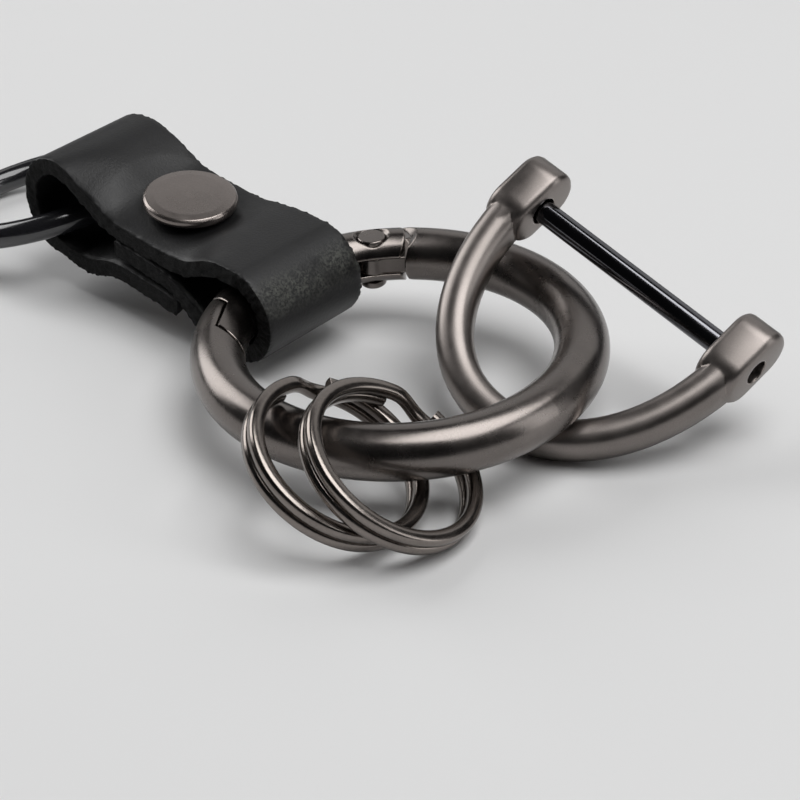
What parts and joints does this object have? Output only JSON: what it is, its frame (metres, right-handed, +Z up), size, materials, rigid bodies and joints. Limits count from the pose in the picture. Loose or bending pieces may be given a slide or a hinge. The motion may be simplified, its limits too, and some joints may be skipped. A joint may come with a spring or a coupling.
{
  "type": "carabiner keyring",
  "caption": "Round spring-gate ring with a riveted leather strap loop, split key rings and a screw-pin shackle, lying flat.",
  "frame": {"origin": "on the floor, under the middle of the whole keyring's outline as it lies", "axes": "+X along the strap towards the shackle, +Z up from the floor, +Y to the side the shackle's pin lies on"},
  "size_m": [0.0921, 0.048, 0.0188],
  "materials": {
    "ring_metal": "satin gunmetal plating",
    "gate_metal": "satin gunmetal plating",
    "pin_metal": "flat satin head",
    "spring_steel": "bright drawn wire",
    "split_ring_metal": "polished dark nickel",
    "shackle_metal": "satin gunmetal plating",
    "black_nickel": "polished black nickel",
    "leather": "smooth matte black, rough cut edges",
    "rivet_metal": "satin gunmetal",
    "gloss_black_metal": "gloss black plating"
  },
  "bodies": {
    "ring_body": {"ring_body": "ring_metal"},
    "gate": {"gate": "gate_metal", "hinge_pin": "pin_metal"},
    "plunger": {"gate_plunger": "spring_steel", "gate_spring": "spring_steel"},
    "strap": {"strap": "leather", "rivet_cap": "rivet_metal", "rivet_base": "rivet_metal"},
    "link_ring": {"link_ring": "gloss_black_metal"},
    "split_ring_a": {"split_ring_a": "split_ring_metal"},
    "split_ring_b": {"split_ring_b": "split_ring_metal"},
    "shackle": {"shackle_bow": "shackle_metal"},
    "shackle_pin": {"shackle_pin": "black_nickel"}
  },
  "joints": [
    {"name": "gate_hinge", "type": "hinge", "parent": "ring_body", "child": "gate", "pos_m": [0.00439, 0.01185, 0.00728], "axis": [0, -0.0523, 0.9986], "range_deg": [0, 9], "stiffness_Nm_per_rad": 0.02, "springref_deg": -20.05},
    {"name": "plunger_slide", "type": "slide", "parent": "gate", "child": "plunger", "axis": [-0.454, -0.8898, -0.0466], "range_m": [0, 0.00012]},
    {"name": "strap_swing", "type": "hinge", "parent": "gate", "child": "strap", "pos_m": [0.0015, 0.00165, 0.00675], "axis": [0, 0.9986, 0.0523], "range_deg": [0, 20]},
    {"name": "link_ring_swing", "type": "hinge", "parent": "strap", "child": "link_ring", "pos_m": [-0.0227, 0.00175, 0.00781], "axis": [0, 0.9986, 0.0523], "range_deg": [0, 120]},
    {"name": "split_ring_a_slide", "type": "hinge", "parent": "ring_body", "child": "split_ring_a", "pos_m": [0.0176, 0.00165, 0.00675], "axis": [0, -0.0523, 0.9986], "range_deg": [-50, 0]},
    {"name": "split_ring_b_slide", "type": "hinge", "parent": "ring_body", "child": "split_ring_b", "pos_m": [0.0176, 0.00165, 0.00675], "axis": [0, -0.0523, 0.9986], "range_deg": [0, 10]},
    {"name": "shackle_slide", "type": "hinge", "parent": "ring_body", "child": "shackle", "pos_m": [0.0176, 0.00165, 0.00675], "axis": [0, -0.0523, 0.9986], "range_deg": [0, 20]},
    {"name": "shackle_pin_unscrew", "type": "slide", "parent": "shackle", "child": "shackle_pin", "axis": [0.9636, -0.0118, -0.2672], "range_m": [0, 0.024]}
  ],
  "couplings": [
    {"joint": "plunger_slide", "follows": "gate_hinge", "m_per_rad": 0.0006}
  ]
}
